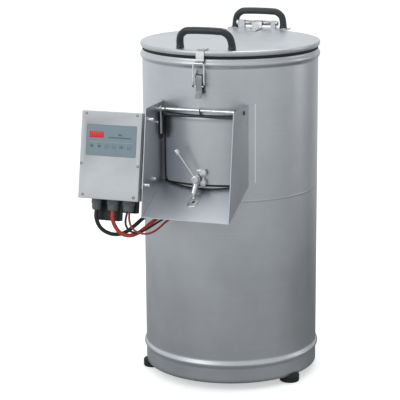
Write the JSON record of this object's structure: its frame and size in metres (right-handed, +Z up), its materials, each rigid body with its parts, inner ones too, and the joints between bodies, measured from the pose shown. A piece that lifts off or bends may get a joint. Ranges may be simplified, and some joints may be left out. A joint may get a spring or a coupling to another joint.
{
  "type": "drum vegetable peeler",
  "caption": "Upright steel drum vegetable peeler with hinged lid and toggle latch, discharge chute with swinging door, leaning control box with cables, belt drive and rubber feet.",
  "frame": {"origin": "on the floor, in the middle of the machine's footprint without its cables", "axes": "+Z up, -Y towards the front where the chute opens, +X to the right seen from the front"},
  "size_m": [0.5112, 0.618, 0.9218],
  "materials": {
    "steel_sheet": "satin brushed stainless sheet",
    "bright_steel": "smooth bright stainless",
    "handle_black": "matt moulded plastic",
    "switch_black": "matt moulded plastic",
    "rubber_black": "dull rubber",
    "box_grey": "light grey moulded plastic",
    "label_film": "printed film",
    "key_film": "raised film keys",
    "display_red": "red filter window",
    "gland_grey": "grey moulded plastic",
    "cable_black": "smooth cable sheath",
    "cable_red": "smooth cable sheath",
    "cast_grey": "painted casting",
    "abrasive_grit": "resin bonded grit"
  },
  "bodies": {
    "machine": {"casing": "steel_sheet", "base_ring": "steel_sheet", "chamber_floor": "steel_sheet", "lid_hinge_bracket": "steel_sheet", "cheek_left": "steel_sheet", "cheek_right": "steel_sheet", "chute_floor": "steel_sheet", "box_bracket": "steel_sheet", "drain_pipe": "steel_sheet", "motor_mount": "steel_sheet", "latch_base": "bright_steel", "lid_hinge_pin": "bright_steel", "bolt_keeper": "bright_steel", "rear_handle": "handle_black", "safety_switch": "switch_black", "power_connector": "switch_black", "signal_connector": "switch_black", "foot_left": "rubber_black", "foot_right": "rubber_black", "foot_rear": "rubber_black", "door_seal": "rubber_black", "drive_belt": "rubber_black", "box_base": "box_grey", "box_cover": "box_grey", "label_panel": "label_film", "display_window": "display_red", "gland_left": "gland_grey", "gland_middle": "gland_grey", "gland_right": "gland_grey", "cable_black_thick": "cable_black", "cable_black_thin": "cable_black", "cable_red_thick": "cable_red", "cable_red_thin": "cable_red", "motor": "cast_grey", "bearing_housing": "cast_grey", "wall_liner": "abrasive_grit"},
    "lid": {"lid": "steel_sheet", "lid_rim": "steel_sheet", "lid_seal": "rubber_black", "latch_strike": "bright_steel", "lid_hinge_leaf": "steel_sheet", "front_handle": "handle_black"},
    "latch_lever": {"latch_lever": "bright_steel"},
    "latch_bail": {"latch_bail": "bright_steel"},
    "door": {"door": "steel_sheet", "switch_arm": "bright_steel", "door_latch_body": "bright_steel"},
    "door_latch": {"door_latch_handle": "bright_steel", "door_latch_cap": "bright_steel"},
    "door_bolt": {"door_bolt": "bright_steel"},
    "disc": {"peeling_disc": "abrasive_grit", "drive_shaft": "bright_steel", "shaft_pulley": "cast_grey"},
    "motor_rotor": {"motor_pulley": "cast_grey"},
    "key_1_cap": {"key_1": "key_film"},
    "key_2_cap": {"key_2": "key_film"},
    "key_3_cap": {"key_3": "key_film"},
    "key_4_cap": {"key_4": "key_film"},
    "key_5_cap": {"key_5": "key_film"},
    "key_6_cap": {"key_6": "key_film"}
  },
  "joints": [
    {"name": "lid_hinge", "type": "hinge", "parent": "machine", "child": "lid", "pos_m": [0.0255, 0.281, 0.882], "axis": [-1, 0, 0], "range_deg": [0, 105]},
    {"name": "latch_lever_hinge", "type": "hinge", "parent": "machine", "child": "latch_lever", "pos_m": [0.0255, -0.191, 0.806], "axis": [-1, 0, 0], "range_deg": [0, 135]},
    {"name": "latch_bail_hinge", "type": "hinge", "parent": "latch_lever", "child": "latch_bail", "pos_m": [0.0255, -0.1963, 0.782], "axis": [-1, 0, 0], "range_deg": [-148.5, 0]},
    {"name": "door_hinge", "type": "hinge", "parent": "machine", "child": "door", "pos_m": [0.0255, -0.191, 0.722], "axis": [-1, 0, 0], "range_deg": [0, 70]},
    {"name": "door_latch_turn", "type": "hinge", "parent": "door", "child": "door_latch", "pos_m": [0.0195, -0.21, 0.554], "axis": [0, 1, 0], "range_deg": [0, 90]},
    {"name": "door_bolt_slide", "type": "slide", "parent": "door", "child": "door_bolt", "axis": [-0.0879, -0.4688, -0.8789], "range_m": [0, 0.012]},
    {"name": "disc_spin", "type": "hinge", "parent": "machine", "child": "disc", "pos_m": [0.0255, 0.043, 0.5], "axis": [0, 0, 1], "continuous": true},
    {"name": "motor_spin", "type": "hinge", "parent": "machine", "child": "motor_rotor", "pos_m": [0.1205, 0.113, 0.42], "axis": [0, 0, 1], "continuous": true},
    {"name": "key_1_press", "type": "slide", "parent": "machine", "child": "key_1_cap", "axis": [0, 0.9822, -0.1879], "range_m": [0, 0.0006], "stiffness_N_per_m": 400},
    {"name": "key_2_press", "type": "slide", "parent": "machine", "child": "key_2_cap", "axis": [0, 0.9822, -0.1879], "range_m": [0, 0.0006], "stiffness_N_per_m": 400},
    {"name": "key_3_press", "type": "slide", "parent": "machine", "child": "key_3_cap", "axis": [0, 0.9822, -0.1879], "range_m": [0, 0.0006], "stiffness_N_per_m": 400},
    {"name": "key_4_press", "type": "slide", "parent": "machine", "child": "key_4_cap", "axis": [0, 0.9822, -0.1879], "range_m": [0, 0.0006], "stiffness_N_per_m": 400},
    {"name": "key_5_press", "type": "slide", "parent": "machine", "child": "key_5_cap", "axis": [0, 0.9822, -0.1879], "range_m": [0, 0.0006], "stiffness_N_per_m": 400},
    {"name": "key_6_press", "type": "slide", "parent": "machine", "child": "key_6_cap", "axis": [0, 0.9822, -0.1879], "range_m": [0, 0.0006], "stiffness_N_per_m": 400}
  ],
  "couplings": [
    {"joint": "latch_bail_hinge", "follows": "latch_lever_hinge", "ratio": -1.1},
    {"joint": "door_bolt_slide", "follows": "door_latch_turn", "m_per_rad": 0.007639},
    {"joint": "motor_spin", "follows": "disc_spin", "ratio": 2}
  ]
}
